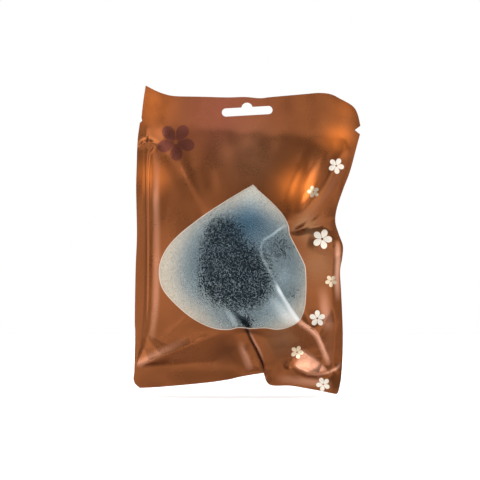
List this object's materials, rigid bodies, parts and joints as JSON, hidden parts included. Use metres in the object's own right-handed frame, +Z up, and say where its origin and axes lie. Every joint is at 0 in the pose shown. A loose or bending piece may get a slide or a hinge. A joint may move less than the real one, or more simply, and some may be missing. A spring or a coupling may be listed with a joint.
{
  "type": "sealed konjac sponge pouch",
  "caption": "Sealed bronze foil hang pouch with a clear window shaped as an upside-down heart, a hang slot and a tear-off header, holding a loose domed konjac sponge.",
  "frame": {"origin": "top of the hang slot's bump, where a display peg carries the pack, on the inner face of the clear front web", "axes": "+X to the right of the front, +Y to the back, +Z up as the pack hangs; the window faces -Y"},
  "size_m": [0.14, 0.0313, 0.1938],
  "materials": {
    "bronze_foil": "satin metallised film, bronze",
    "back_foil": "satin metallised film, bronze outside",
    "clear_film": "clear, hazed by moisture inside",
    "sealant": "fused sealant",
    "sponge": "porous, dark blue-grey"
  },
  "bodies": {
    "pouch": {"front_foil": "bronze_foil", "clear_film": "clear_film", "back_film": "back_foil", "left_seal": "sealant", "right_seal": "sealant", "bottom_seal": "sealant"},
    "header": {"header_foil": "bronze_foil", "header_clear_film": "clear_film", "header_seal": "sealant", "header_back": "back_foil"},
    "sponge": {"sponge": "sponge"}
  },
  "joints": [
    {"name": "header_tear", "type": "hinge", "parent": "pouch", "child": "header", "pos_m": [0.0678, 0, -0.0173], "axis": [0, 1, 0], "range_deg": [0, 75]},
    {"name": "sponge_turn", "type": "hinge", "parent": "pouch", "child": "sponge", "pos_m": [-0.0035, 0, -0.105], "axis": [0, 1, 0], "continuous": true}
  ]
}
